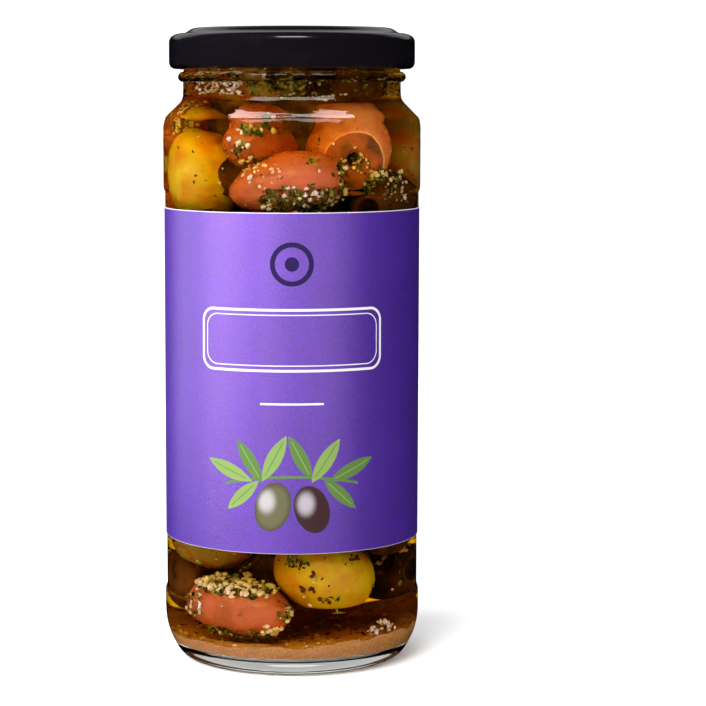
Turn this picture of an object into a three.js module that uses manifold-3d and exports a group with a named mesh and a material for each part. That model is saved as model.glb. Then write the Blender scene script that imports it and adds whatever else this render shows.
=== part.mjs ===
// A shut grocery jar of marinated olives: a clear glass jar with a twist-off metal lid and a wrapped paper
// label, a heap of olives that shows above and below the label, and a settled bed of herbs and garlic.
// Millimetres, +Z up. The origin is the centre of the foot, and the front of the label faces -Y.
import * as THREE from "three";
import { mergeVertices } from "three/addons/utils/BufferGeometryUtils.js";
import Module from "manifold-3d";

const wasm = await Module();
wasm.setup();

// Roundness of the faceted solids
const ROUND_SIDES = 40;
const CURVE_STEPS = 3;
const OLIVE_SIDES = 10;
const OLIVE_STEPS = 6;

// Glass jar: outer form
const BODY_RADIUS = 31.7;
const FOOT_OUTER_RADIUS = 26.4;
const FOOT_INNER_RADIUS = 22.4;
const PUSH_UP = 1.8;
const HEEL_KNEE = { radius: 29.6, height: 3.4 };
const HEEL_HEIGHT = 12;
const PANEL_BOTTOM = 17.5;
const PANEL_TOP = 115;
const PANEL_RECESS = 0.4;
const PANEL_EDGE = 1.6;
const SHOULDER_START = 130;
const SHOULDER_KNEE = { radius: 31, height: 133.7 };
const SHOULDER_END = { radius: 28.1, height: 136.6 };
const NECK_RADIUS = 26.75;
const NECK_START = 139.7;
const BEAD_HEIGHT = 143.4;
const BEAD_RADIUS = 1.25;
const FINISH_RADIUS = 25.9;
const FINISH_START = 146.6;
const RIM_HEIGHT = 151.8;
const RIM_ROUND = 1.2;

// Glass jar: inner form
const BORE_RADIUS = 28.9;
const MOUTH_RADIUS = 23.8;
const MOUTH_START = 138.7;
const BORE_END = 129.3;
const FLOOR_HEIGHT = 3.7;
const FLOOR_CROWN = 0.9;
const CORNER_WIDTH = 6.6;
const CORNER_HEIGHT = 7.4;

// Lid
const LID_RADIUS = 30.2;
const LID_BOTTOM = 145.3;
const LID_TOP = 155.3;
const LID_WALL = 0.45;
const LID_ROUND_START = 151.7;
const LID_STEP = { radius: 27, height: 154 };
const LID_CREST = { outer: 23.6, inner: 22.6 };
const LID_PANEL_RADIUS = 21;
const LID_PANEL_DROP = 0.9;
const CURL_OUTER_ROUND = 1.9;
const CURL_INNER_RADIUS = 27.1;
const CURL_TOP = 147.6;

// Label
const LABEL_BOTTOM = 30.5;
const LABEL_TOP = 111.6;
const LABEL_GAP = 0.06;
const LABEL_THICKNESS = 0.15;

// Settled bed of herbs and garlic
const GAP = 0.4;
const BED_LEVEL = 7.4;
const BED_SLOPE = 1.1;
const BED_RINGS = 5;

// Olive heap: the core, then the shapes of olive. Cut is where the pitted end is trimmed, as a share of the
// half length, and point is how far the other end is drawn out.
const CORE_RADIUS = 14.5;
const CORE_BOTTOM = 12.5;
const CORE_TOP = 146;
const CORE_ROUND = 4;
const LONG_OLIVE = { length: 25.5, girth: 14.6, point: 0.12, cut: 0.9, pitHole: 2.6 };
const ROUND_OLIVE = { length: 23, girth: 17.4, point: 0.04, cut: 0.92, pitHole: 2.4 };
const CUT_OLIVE = { length: 24, girth: 18.4, point: 0.04, cut: 0.62, pitHole: 1.8 };
const PIT_DEPTH = 4;

// The olives that face the front, by azimuth from the front, distance from the axis and height. Heading
// turns an olive's pitted end from the tangent towards the glass, and lean lifts that end.
const FRONT_OLIVES = [
  { shape: LONG_OLIVE, azimuth: -3, radius: 20.4, height: 118, heading: 0, lean: 12 },
  { shape: ROUND_OLIVE, azimuth: -71, radius: 19.3, height: 119.2, heading: 15, lean: -58 },
  { shape: LONG_OLIVE, azimuth: -26, radius: 13.6, height: 126.8, heading: -86, lean: -8 },
  { shape: CUT_OLIVE, azimuth: 44, radius: 17, height: 126.2, heading: 120, lean: -20 },
  { shape: ROUND_OLIVE, azimuth: 106, radius: 19, height: 124.5, heading: -20, lean: 24 },
  { shape: LONG_OLIVE, azimuth: -33, radius: 19.8, height: 16.3, heading: 0, lean: -3 },
  { shape: ROUND_OLIVE, azimuth: 22, radius: 18.9, height: 23.2, heading: 4, lean: -26 },
  { shape: ROUND_OLIVE, azimuth: -68, radius: 17.6, height: 31.5, heading: -12, lean: 4 },
  { shape: LONG_OLIVE, azimuth: -37, radius: 10, height: 119.5, heading: -84, lean: 0 },
];

// Tiers of olives that carry the heap round the sides and the back, from the azimuth start over the arc
const TIERS = [
  { height: 18.6, radius: 19.6, start: 106, arc: 166, count: 3 },
  { height: 33.2, radius: 18.2, start: 80, arc: 150, count: 3 },
  { height: 113.5, radius: 19.4, start: 70, arc: 170, count: 4 },
  { height: 129, radius: 17.8, start: 158, arc: 84, count: 2 },
  { height: 140.8, radius: 11.5, start: 55, arc: 255, count: 4 },
];
const TIER_JITTER = { azimuth: 4, height: 1, heading: 22, lean: 16 };
const SEED = 7;

function seededRandom(seed) {
  let state = seed;
  return () => {
    state = (state * 1664525 + 1013904223) % 4294967296;
    return state / 4294967296;
  };
}

const radians = THREE.MathUtils.degToRad;

// A solid of revolution about +Z from a profile of (radius, height) points
function revolve(points, sides = ROUND_SIDES) {
  return new THREE.LatheGeometry(points, sides).rotateX(Math.PI / 2);
}

function solidOf(geometry) {
  const bare = geometry.clone();
  bare.deleteAttribute("normal");
  bare.deleteAttribute("uv");
  const merged = mergeVertices(bare, 1e-4);
  return new wasm.Manifold(
    new wasm.Mesh({
      numProp: 3,
      vertProperties: merged.attributes.position.array,
      triVerts: new Uint32Array(merged.index.array),
    }),
  );
}

function geometryOf(solid) {
  const mesh = solid.getMesh();
  const geometry = new THREE.BufferGeometry();
  geometry.setAttribute("position", new THREE.BufferAttribute(mesh.vertProperties, 3));
  geometry.setIndex(new THREE.BufferAttribute(mesh.triVerts, 1));
  geometry.computeVertexNormals();
  return geometry;
}

// Radius of the glass's inner wall where it rounds into the floor, and above that
function innerRadiusAt(height) {
  const drop = Math.min(1, Math.max(0, (FLOOR_HEIGHT + CORNER_HEIGHT - height) / CORNER_HEIGHT));
  return BORE_RADIUS - CORNER_WIDTH * (1 - Math.sqrt(1 - drop * drop));
}

// The outside of the glass from the middle of the foot up to the rim, then its inside down to the floor
function glassProfile() {
  const panelRadius = BODY_RADIUS - PANEL_RECESS;
  const cornerCentre = { radius: BORE_RADIUS - CORNER_WIDTH, height: FLOOR_HEIGHT + CORNER_HEIGHT };
  const outline = new THREE.Path();
  outline.moveTo(0, PUSH_UP);
  outline.quadraticCurveTo(FOOT_INNER_RADIUS * 0.7, PUSH_UP, FOOT_INNER_RADIUS, 0);
  outline.lineTo(FOOT_OUTER_RADIUS, 0);
  outline.quadraticCurveTo(FOOT_OUTER_RADIUS + 1.9, 0.5, HEEL_KNEE.radius, HEEL_KNEE.height);
  outline.quadraticCurveTo(BODY_RADIUS, HEEL_HEIGHT * 0.58, BODY_RADIUS, HEEL_HEIGHT);
  outline.lineTo(BODY_RADIUS, PANEL_BOTTOM - PANEL_EDGE);
  outline.lineTo(panelRadius, PANEL_BOTTOM);
  outline.lineTo(panelRadius, PANEL_TOP);
  outline.lineTo(BODY_RADIUS, PANEL_TOP + PANEL_EDGE);
  outline.lineTo(BODY_RADIUS, SHOULDER_START);
  outline.quadraticCurveTo(BODY_RADIUS, SHOULDER_START + 2.8, SHOULDER_KNEE.radius, SHOULDER_KNEE.height);
  outline.lineTo(SHOULDER_END.radius, SHOULDER_END.height);
  outline.quadraticCurveTo(NECK_RADIUS, SHOULDER_END.height + 1.3, NECK_RADIUS, NECK_START);
  outline.lineTo(NECK_RADIUS, BEAD_HEIGHT - BEAD_RADIUS);
  outline.absarc(NECK_RADIUS, BEAD_HEIGHT, BEAD_RADIUS, -Math.PI / 2, Math.PI / 2);
  outline.lineTo(FINISH_RADIUS, FINISH_START);
  outline.lineTo(FINISH_RADIUS, RIM_HEIGHT - RIM_ROUND);
  outline.quadraticCurveTo(FINISH_RADIUS, RIM_HEIGHT, FINISH_RADIUS - RIM_ROUND, RIM_HEIGHT);
  outline.quadraticCurveTo(MOUTH_RADIUS, RIM_HEIGHT, MOUTH_RADIUS, RIM_HEIGHT - RIM_ROUND);
  outline.lineTo(MOUTH_RADIUS, MOUTH_START);
  outline.bezierCurveTo(MOUTH_RADIUS, MOUTH_START - 4, BORE_RADIUS, BORE_END + 5, BORE_RADIUS, BORE_END);
  outline.lineTo(BORE_RADIUS, cornerCentre.height);
  outline.absellipse(
    cornerCentre.radius,
    cornerCentre.height,
    CORNER_WIDTH,
    CORNER_HEIGHT,
    0,
    -Math.PI / 2,
    true,
  );
  outline.quadraticCurveTo(cornerCentre.radius * 0.5, FLOOR_HEIGHT + FLOOR_CROWN, 0, FLOOR_HEIGHT + FLOOR_CROWN);
  return outline.getPoints(CURVE_STEPS);
}

// The lid's outer skin from the middle of its panel to the top of its curl
function lidSkin() {
  const panelHeight = LID_TOP - LID_PANEL_DROP;
  const outline = new THREE.Path();
  outline.moveTo(0, panelHeight);
  outline.lineTo(LID_PANEL_RADIUS, panelHeight);
  outline.bezierCurveTo(
    LID_CREST.inner - 0.6,
    panelHeight,
    LID_CREST.inner - 0.8,
    LID_TOP,
    LID_CREST.inner,
    LID_TOP,
  );
  outline.lineTo(LID_CREST.outer, LID_TOP);
  outline.bezierCurveTo(
    LID_CREST.outer + 1.6,
    LID_TOP,
    LID_STEP.radius - 1.4,
    LID_STEP.height,
    LID_STEP.radius,
    LID_STEP.height,
  );
  outline.quadraticCurveTo(LID_RADIUS, LID_STEP.height - 0.2, LID_RADIUS, LID_ROUND_START);
  outline.lineTo(LID_RADIUS, LID_BOTTOM + CURL_OUTER_ROUND);
  return outline.getPoints(CURVE_STEPS);
}

// The same skin moved inwards by the wall's thickness, along the normal at each point
function insetProfile(points, distance) {
  return points.map((point, i) => {
    const before = points[Math.max(0, i - 1)];
    const after = points[Math.min(points.length - 1, i + 1)];
    const along = after.clone().sub(before).normalize();
    const shift = point.x === 0 ? 0 : along.y * distance;
    return new THREE.Vector2(point.x + shift, point.y - along.x * distance);
  });
}

// The lid's section from the axis: the inside of the skin, the rolled curl, then the outer skin back
function lidProfile() {
  const skin = lidSkin();
  const curlCentre = (LID_RADIUS - CURL_OUTER_ROUND + CURL_INNER_RADIUS) / 2;
  const curl = new THREE.Path();
  curl.moveTo(LID_RADIUS, LID_BOTTOM + CURL_OUTER_ROUND);
  curl.quadraticCurveTo(LID_RADIUS, LID_BOTTOM, LID_RADIUS - CURL_OUTER_ROUND, LID_BOTTOM);
  curl.quadraticCurveTo(CURL_INNER_RADIUS, LID_BOTTOM, CURL_INNER_RADIUS, LID_BOTTOM + 1.1);
  curl.quadraticCurveTo(CURL_INNER_RADIUS, CURL_TOP, curlCentre + 0.6, CURL_TOP);
  curl.lineTo(LID_RADIUS - LID_WALL, CURL_TOP + 0.7);
  const inside = insetProfile(skin.slice(0, -1), LID_WALL).reverse();
  return [...skin, ...curl.getPoints(CURVE_STEPS).slice(1), ...inside].reverse();
}

function labelProfile() {
  const inner = BODY_RADIUS - PANEL_RECESS + LABEL_GAP;
  const outer = inner + LABEL_THICKNESS;
  const corners = [
    [outer, LABEL_BOTTOM],
    [outer, LABEL_TOP],
    [inner, LABEL_TOP],
    [inner, LABEL_BOTTOM],
    [outer, LABEL_BOTTOM],
  ];
  return corners.map(([radius, height]) => new THREE.Vector2(radius, height));
}

// Height of the settled bed over the floor plan: banked up to one side, with soft ripples
function bedHeight(x, y) {
  const bank = (BED_SLOPE * x) / BORE_RADIUS;
  const ripples = 0.4 * Math.sin(0.31 * x + 1) * Math.cos(0.37 * y) + 0.25 * Math.sin(0.62 * x + 0.55 * y);
  return BED_LEVEL + bank + ripples;
}

// A shallow disc that fills the rounded floor of the glass, with a rippled top
function settledBed() {
  const edge = innerRadiusAt(BED_LEVEL) - GAP;
  const underside = FLOOR_HEIGHT + FLOOR_CROWN + GAP;
  const profile = [
    new THREE.Vector2(0, underside),
    new THREE.Vector2(innerRadiusAt(underside) - GAP, underside),
  ];
  for (let ring = BED_RINGS; ring >= 0; ring -= 1) {
    profile.push(new THREE.Vector2((edge * ring) / BED_RINGS, BED_LEVEL));
  }
  const geometry = revolve(profile);
  const places = geometry.attributes.position;
  for (let i = 0; i < places.count; i += 1) {
    const isTop = places.getZ(i) > BED_LEVEL - 1e-3;
    if (!isTop) continue;
    const height = bedHeight(places.getX(i), places.getY(i));
    const reach = Math.hypot(places.getX(i), places.getY(i));
    const fit = reach > 0 ? Math.min(1, (innerRadiusAt(height) - GAP) / reach) : 1;
    places.setXYZ(i, places.getX(i) * fit, places.getY(i) * fit, height);
  }
  return geometry;
}

// One pitted olive about +Z, its stem end down and its cut end with the pit hole up
function oliveGeometry({ length, girth, point, cut, pitHole }) {
  const profile = [];
  const cutTurn = Math.acos(-cut);
  for (let step = 0; step <= OLIVE_STEPS; step += 1) {
    const turn = (cutTurn * step) / OLIVE_STEPS;
    const radius = (girth / 2) * Math.sin(turn) * (1 - point * Math.cos(turn));
    profile.push(new THREE.Vector2(radius, (-length / 2) * Math.cos(turn)));
  }
  const face = (length / 2) * cut;
  profile.push(new THREE.Vector2(pitHole, face));
  profile.push(new THREE.Vector2(pitHole * 0.8, face - PIT_DEPTH));
  profile.push(new THREE.Vector2(0, face - PIT_DEPTH));
  return revolve(profile, OLIVE_SIDES);
}

// The olive's place in the jar as a matrix
function olivePlacement({ azimuth, radius, height, heading, lean }) {
  const around = radians(azimuth);
  const outward = new THREE.Vector3(Math.sin(around), -Math.cos(around), 0);
  const tangent = new THREE.Vector3(Math.cos(around), Math.sin(around), 0);
  const axis = tangent
    .multiplyScalar(Math.cos(radians(heading)))
    .addScaledVector(outward, Math.sin(radians(heading)))
    .multiplyScalar(Math.cos(radians(lean)))
    .setZ(Math.sin(radians(lean)));
  const place = outward.multiplyScalar(radius).setZ(height);
  const turn = new THREE.Quaternion().setFromUnitVectors(new THREE.Vector3(0, 0, 1), axis);
  return new THREE.Matrix4().compose(place, turn, new THREE.Vector3(1, 1, 1));
}

// The tiers as single olives, long and round ones mixed, each a little out of line
function tierOlives() {
  const random = seededRandom(SEED);
  const jitter = (amount) => amount * (2 * random() - 1);
  const olives = [];
  for (const { height, radius, start, arc, count } of TIERS) {
    for (let i = 0; i < count; i += 1) {
      olives.push({
        shape: random() < 0.62 ? LONG_OLIVE : ROUND_OLIVE,
        azimuth: start + (arc * i) / (count - 1) + jitter(TIER_JITTER.azimuth),
        radius,
        height: height + jitter(TIER_JITTER.height),
        heading: (random() < 0.5 ? 0 : 180) + jitter(TIER_JITTER.heading),
        lean: jitter(TIER_JITTER.lean),
      });
    }
  }
  return olives;
}

// The heap: a rounded core with every olive that shows through the glass fused on
function oliveHeap() {
  const core = new THREE.Path();
  core.moveTo(0, CORE_BOTTOM);
  core.lineTo(CORE_RADIUS - CORE_ROUND, CORE_BOTTOM);
  core.quadraticCurveTo(CORE_RADIUS, CORE_BOTTOM, CORE_RADIUS, CORE_BOTTOM + CORE_ROUND);
  core.lineTo(CORE_RADIUS, CORE_TOP - CORE_ROUND);
  core.quadraticCurveTo(CORE_RADIUS, CORE_TOP, CORE_RADIUS - CORE_ROUND, CORE_TOP);
  core.lineTo(0, CORE_TOP);
  let heap = solidOf(revolve(core.getPoints(CURVE_STEPS), ROUND_SIDES / 2));
  for (const olive of [...FRONT_OLIVES, ...tierOlives()]) {
    heap = heap.add(solidOf(oliveGeometry(olive.shape).applyMatrix4(olivePlacement(olive))));
  }
  // A pit hole that another olive shuts is filled, so that the heap stays one solid
  const [solid] = heap.decompose().filter((body) => body.volume() > 0);
  return geometryOf(solid);
}

function piece(name, geometry, look) {
  const mesh = new THREE.Mesh(geometry, new THREE.MeshStandardMaterial(look));
  mesh.name = name;
  return mesh;
}

const jar = new THREE.Group();
jar.name = "olive_jar";
jar.add(
  piece("glass_jar", revolve(glassProfile()), {
    color: 0xe4efe8,
    roughness: 0.03,
    metalness: 0,
    transparent: true,
    opacity: 0.35,
  }),
  piece("lid", revolve(lidProfile()), { color: 0x141217, roughness: 0.28, metalness: 0.2 }),
  piece("label", revolve(labelProfile()), { color: 0x6a3fc0, roughness: 0.5, metalness: 0 }),
  piece("settled_bed", settledBed(), { color: 0xa1693a, roughness: 0.7, metalness: 0 }),
  piece("olive_heap", oliveHeap(), { color: 0xa8643a, roughness: 0.35, metalness: 0 }),
);

export default jar;
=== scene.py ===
"""Looks of a shut jar of marinated olives: glass, lid, label, brine, olives, herbs and the stage."""

import math
import random

import bmesh
import bpy
from bpy.props import FloatProperty, FloatVectorProperty, IntProperty, PointerProperty
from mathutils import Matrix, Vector, noise


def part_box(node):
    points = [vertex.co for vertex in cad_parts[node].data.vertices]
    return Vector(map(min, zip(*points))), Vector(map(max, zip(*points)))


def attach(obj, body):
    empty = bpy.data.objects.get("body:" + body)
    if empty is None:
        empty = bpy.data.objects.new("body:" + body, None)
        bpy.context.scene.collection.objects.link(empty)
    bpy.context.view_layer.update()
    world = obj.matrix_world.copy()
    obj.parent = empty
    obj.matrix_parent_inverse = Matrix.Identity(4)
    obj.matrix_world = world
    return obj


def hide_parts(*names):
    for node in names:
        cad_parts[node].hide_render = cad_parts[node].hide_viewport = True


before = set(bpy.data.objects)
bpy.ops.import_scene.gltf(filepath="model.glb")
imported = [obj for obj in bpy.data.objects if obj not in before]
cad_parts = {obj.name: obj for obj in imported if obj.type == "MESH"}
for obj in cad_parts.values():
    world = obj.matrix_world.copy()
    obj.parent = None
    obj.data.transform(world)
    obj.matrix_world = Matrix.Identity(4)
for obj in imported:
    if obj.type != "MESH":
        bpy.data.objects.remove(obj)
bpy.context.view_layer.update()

bl_info = {
    "name": "Olive Jar Looks",
    "version": (1, 0, 0),
    "blender": (4, 5, 0),
    "location": "View3D > Sidebar > Olive Jar",
    "description": "Dresses the packed jar of olives with glass, lid, label, brine, olives and herbs",
    "category": "Object",
}

MM = 0.001
BODY = "root"
LABEL_LOW, LABEL_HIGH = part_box("label")
LID_LOW, LID_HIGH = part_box("lid")
GLASS_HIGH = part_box("glass_jar")[1]


def length(name, description, metres):
    """A size property in metres."""
    return FloatProperty(name=name, description=description, default=metres, unit="LENGTH", precision=5)


def colour(name, description, red, green, blue):
    """A colour property, given as a display colour from 0 to 255 and kept as a linear one."""
    linear = [((c / 255 + 0.055) / 1.055) ** 2.4 if c > 10 else c / 255 / 12.92 for c in (red, green, blue)]
    return FloatVectorProperty(
        name=name, description=description, default=linear, subtype="COLOR", size=3, min=0, max=1
    )


class JarSizes(bpy.types.PropertyGroup):
    """Sizes of the jar, its lid, label and filling."""

    body_radius: length("Body radius", "Outer radius of the glass's bands", GLASS_HIGH.x)
    bore_radius: length("Bore radius", "Inner radius of the glass's wall", 28.9 * MM)
    rim_height: length("Rim height", "Height of the glass's rim", GLASS_HIGH.z)
    lid_radius: length("Lid radius", "Outer radius of the lid's skirt", LID_HIGH.x)
    lid_bottom: length("Lid bottom", "Height of the lid's curl", LID_LOW.z)
    lid_top: length("Lid top", "Height of the lid's crest", LID_HIGH.z)
    label_bottom: length("Label bottom", "Height of the label's lower edge", LABEL_LOW.z)
    label_top: length("Label top", "Height of the label's upper edge", LABEL_HIGH.z)
    label_radius: length("Label radius", "Outer radius of the label", LABEL_HIGH.x)
    label_lap: length("Label lap", "How far the label's end laps over its start at the back", 6 * MM)
    brine_level: length("Brine level", "Height of the brine's surface, under the lid", 149.6 * MM)
    brine_reach: length("Brine reach", "How far the brine reaches into the glass's wall", 0.2 * MM)
    core_radius: length("Core radius", "Radius of the heap's core", 14.5 * MM)
    seed: IntProperty(name="Seed", description="Seed of the scattered herbs and garlic", default=11)


class JarColours(bpy.types.PropertyGroup):
    """Colours of the jar, its lid, label and filling."""

    glass: colour("Glass", "Tint of the clear glass", 250, 254, 251)
    lid: colour("Lid", "Lacquer of the lid", 9, 7, 11)
    label: colour("Label", "Ground of the label", 51, 14, 126)
    label_dark: colour("Label dark", "Dark print on the label", 20, 7, 50)
    paper: colour("Paper", "Bare paper at the label's edges and its white print", 182, 176, 184)
    leaf: colour("Leaf", "Leaves in the label's print", 66, 92, 44)
    leaf_light: colour("Light leaf", "Lighter leaves in the label's print", 98, 120, 62)
    print_green: colour("Printed green olive", "Green olive in the label's print", 74, 72, 50)
    print_dark: colour("Printed dark olive", "Dark olive in the label's print", 40, 20, 24)
    kalamata: colour("Brown olive", "Pink-brown skin of the long olives", 188, 87, 70)
    kalamata_deep: colour("Brown olive, deep", "Deeper blotches on the long olives", 160, 72, 46)
    amber: colour("Amber olive", "Flesh of the cut orange-brown olive", 206, 116, 88)
    yellow: colour("Yellow olive", "Skin of the yellow-green olives", 200, 154, 18)
    yellow_deep: colour("Yellow olive, deep", "Orange blotches on the yellow olives", 196, 118, 20)
    pale: colour("Pale olive", "Skin of the dull green-brown olives", 152, 118, 78)
    # Skin of the near-black olives; the one deep in the gap at the front also stands in as painted shade
    # there
    dark: colour("Dark olive", "Skin of the near-black olives", 92, 48, 20)
    # The cut rim is brighter than the skin as a painted highlight on the rounded lip of the cut end
    rim: colour("Cut rim", "Bright rim of the cut orange-brown olive", 226, 147, 88)
    flesh: colour("Cut flesh", "Cut ends of the olives", 108, 58, 50)
    # The core's dark brown is painted shade for the depth between the olives; on the settled bed it only
    # darkens random patches
    core: colour("Core", "Dark depth between the olives", 64, 38, 20)
    herb: colour("Herb", "Dried basil flakes", 84, 84, 38)
    herb_light: colour("Light herb", "Lighter basil flakes", 146, 134, 52)
    brown_flake: colour("Brown flake", "Reddish-brown flakes", 112, 54, 30)
    garlic: colour("Garlic", "Garlic granules", 240, 206, 226)
    bed: colour("Settled bed", "Fine settled grains", 226, 150, 100)
    brine: colour("Brine", "Colour that the brine lets through", 250, 243, 178)
    floor: colour("Floor", "Pale floor", 243, 243, 243)


class Value:
    """A shader socket that takes part in Python expressions: each operator adds one Math node."""

    def __init__(self, tree, socket):
        self.tree = tree
        self.socket = socket

    def math(self, operation, *values):
        """Adds a Math node on these values."""
        return self.tree.node("ShaderNodeMath", {"operation": operation}, dict(enumerate(values)))

    def __add__(self, other):
        return self.math("ADD", self, other)

    __radd__ = __add__

    def __sub__(self, other):
        return self.math("SUBTRACT", self, other)

    def __rsub__(self, other):
        return self.math("SUBTRACT", other, self)

    def __mul__(self, other):
        return self.math("MULTIPLY", self, other)

    __rmul__ = __mul__

    def __truediv__(self, other):
        return self.math("DIVIDE", self, other)

    def __rtruediv__(self, other):
        return self.math("DIVIDE", other, self)

    def __pow__(self, other):
        return self.math("POWER", self, other)

    def __abs__(self):
        return self.math("ABSOLUTE", self)

    def __neg__(self):
        return self.math("MULTIPLY", self, -1.0)

    def at_least(self, other):
        """The larger of the two."""
        return self.math("MAXIMUM", self, other)

    def at_most(self, other):
        """The smaller of the two."""
        return self.math("MINIMUM", self, other)

    def ramp(self, low, high, out_low=0.0, out_high=1.0):
        """Eases from one value to another while this one goes from low to high."""
        return self.tree.node(
            "ShaderNodeMapRange",
            {"interpolation_type": "SMOOTHSTEP", "clamp": True},
            {"Value": self, "From Min": low, "From Max": high, "To Min": out_low, "To Max": out_high},
        )


class Nodes:
    """A node tree that hands out its sockets as Values."""

    def __init__(self, tree):
        self.tree = tree
        tree.nodes.clear()

    def node(self, kind, settings=None, inputs=None, output=0):
        """Adds a node: its settings first, then the values or links of its sockets."""
        made = self.tree.nodes.new(kind)
        for key, value in (settings or {}).items():
            setattr(made, key, value)
        for key, value in (inputs or {}).items():
            if isinstance(value, Value):
                self.tree.links.new(value.socket, made.inputs[key])
            else:
                made.inputs[key].default_value = value
        return Value(self, made.outputs[output]) if made.outputs else made

    def place(self):
        """The point on the piece, in metres in the jar's frame."""
        return self.node("ShaderNodeTexCoord", output="Object")

    def parts(self, vector):
        """The x, y and z of a vector."""
        split = self.node("ShaderNodeSeparateXYZ", inputs={0: vector})
        sockets = split.socket.node.outputs
        return [Value(self, sockets[i]) for i in range(3)]

    def grain(self, size, detail=2.0, roughness=0.5, stretch=None):
        """Noise from 0 to 1 with features of the given size in millimetres."""
        where = self.place()
        if stretch:
            where = self.node("ShaderNodeVectorMath", {"operation": "MULTIPLY"}, {0: where, 1: stretch})
        return self.node(
            "ShaderNodeTexNoise",
            {"noise_dimensions": "3D"},
            {"Vector": where, "Scale": 1 / (size * MM), "Detail": detail, "Roughness": roughness},
        )

    def mix(self, mask, first, second):
        """The first colour where the mask is 0 and the second where it is 1."""
        return self.node(
            "ShaderNodeMix",
            {"data_type": "RGBA", "clamp_factor": True},
            {0: mask, 6: solid(first), 7: solid(second)},
            output=2,
        )

    def bump(self, height, depth):
        """A normal from a height of 0 to 1 that is depth millimetres deep."""
        sockets = {"Strength": 1.0, "Distance": depth * MM, "Height": height}
        return self.node("ShaderNodeBump", inputs=sockets)


def solid(value):
    """A colour with full alpha, or the link as it is."""
    return value if isinstance(value, Value) else (*value, 1.0)


class Finish(Nodes):
    """One procedural material around a Principled shader."""

    def __init__(self, name):
        self.material = bpy.data.materials.new(name)
        self.material.use_nodes = True
        super().__init__(self.material.node_tree)

    def shader(self, **sockets):
        """Adds a Principled shader with these sockets."""
        inputs = {}
        for name, value in sockets.items():
            inputs[name.replace("_", " ")] = solid(value) if name == "Base_Color" else value
        return self.node("ShaderNodeBsdfPrincipled", inputs=inputs)

    def done(self, absorption=None, surface=None, **sockets):
        """Ends in a shader with these sockets, and the colour and density that fill the piece, if any."""
        links = {"Surface": surface or self.shader(**sockets)}
        if absorption:
            tint, density = absorption
            links["Volume"] = self.node(
                "ShaderNodeVolumeAbsorption", inputs={"Color": solid(tint), "Density": density}
            )
        self.node("ShaderNodeOutputMaterial", inputs=links)
        return self.material


class Section:
    """Half of a round piece's section, drawn in millimetres as (radius, height) points."""

    def __init__(self, radius, height):
        self.points = [(radius, height)]

    def line(self, radius, height, steps=1):
        """Goes straight to a point."""
        start = self.points[-1]
        for i in range(1, steps + 1):
            share = i / steps
            self.points.append(
                (start[0] + (radius - start[0]) * share, start[1] + (height - start[1]) * share)
            )
        return self

    def curve(self, *controls, steps=10):
        """Goes along a Bezier curve whose last control is its end."""
        controls = [self.points[-1], *controls]
        degree = len(controls) - 1
        for i in range(1, steps + 1):
            t = i / steps
            weights = [math.comb(degree, k) * (1 - t) ** (degree - k) * t**k for k in range(degree + 1)]
            self.points.append(
                tuple(sum(w * c[axis] for w, c in zip(weights, controls)) for axis in range(2))
            )
        return self

    def arc(self, centre, width, height, start, end, steps=12):
        """Goes round part of an ellipse, between angles in degrees."""
        for i in range(1, steps + 1):
            turn = math.radians(start + (end - start) * i / steps)
            self.points.append((centre[0] + width * math.cos(turn), centre[1] + height * math.sin(turn)))
        return self


def lathe(points, sides):
    """Vertices in metres and faces of a solid of revolution from (radius, height) points in millimetres."""
    closed = points[0] == points[-1]
    vertices = []
    rings = []
    for radius, height in points[:-1] if closed else points:
        first = len(vertices)
        if radius < 1e-6:
            vertices.append((0.0, 0.0, height * MM))
            rings.append([first] * sides)
            continue
        for i in range(sides):
            turn = math.tau * i / sides
            vertices.append((radius * MM * math.sin(turn), -radius * MM * math.cos(turn), height * MM))
        rings.append(list(range(first, first + sides)))
    if closed:
        rings.append(rings[0])
    faces = []
    for low, high in zip(rings, rings[1:]):
        for i in range(sides):
            j = (i + 1) % sides
            corners = (low[i], low[j], high[j], high[i])
            faces.append(tuple(dict.fromkeys(corners)))
    return vertices, faces


def outward_mesh(name, vertices, faces):
    """A mesh whose faces all point out of the piece."""
    mesh = bpy.data.meshes.new(name)
    mesh.from_pydata(vertices, [], faces)
    work = bmesh.new()
    work.from_mesh(mesh)
    bmesh.ops.recalc_face_normals(work, faces=work.faces)
    work.to_mesh(mesh)
    work.free()
    return mesh


def make_piece(name, vertices, faces, finishes, slot, replaces=(), sharp=None, smooth=True, parts=None):
    """Makes a mesh piece that rides on the jar: parts gives each face the number of its finish."""
    mesh = outward_mesh(name, vertices, faces)
    mesh.polygons.foreach_set("use_smooth", [smooth] * len(mesh.polygons))
    if sharp is not None:
        mesh.set_sharp_from_angle(angle=math.radians(sharp))
    for finish in finishes:
        mesh.materials.append(finish)
    if parts:
        mesh.polygons.foreach_set("material_index", parts)
    piece = bpy.data.objects.new(name, mesh)
    bpy.context.scene.collection.objects.link(piece)
    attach(piece, BODY)
    if replaces:
        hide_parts(*replaces)
    return piece


FLOOR_HEIGHT = 3.7
FLOOR_CROWN = 0.9
CORNER_WIDTH = 6.6
CORNER_HEIGHT = 7.4
MOUTH_RADIUS = 23.8
MOUTH_START = 138.7
BORE_END = 129.3
PANEL_RECESS = 0.4
GLASS_SIDES = 160
GLASS_INDEX = 1.5
GLASS_MIRROR = (0.4, 0.4, 0.4, 1.0)
# Glass against brine, which is 1.5 over 1.38: light bends there, so the brine's own faces hardly bend it
WET_INDEX = 1.087
BRINE_INDEX = 1.001
# What brine against glass still mirrors, as a share of what glass in air does
WETTED = (0.04, 0.04, 0.04, 1.0)
# How far over the crown of the floor the wet part of the wall and the brine start, inside the settled bed
WET_START = 0.3
BRINE_START = 0.8
# The shoulder's ripples: from and to which height, and how far out they begin
RIPPLE_LOW = 124
RIPPLE_HIGH = 142
RIPPLE_REACH = 26.4


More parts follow.
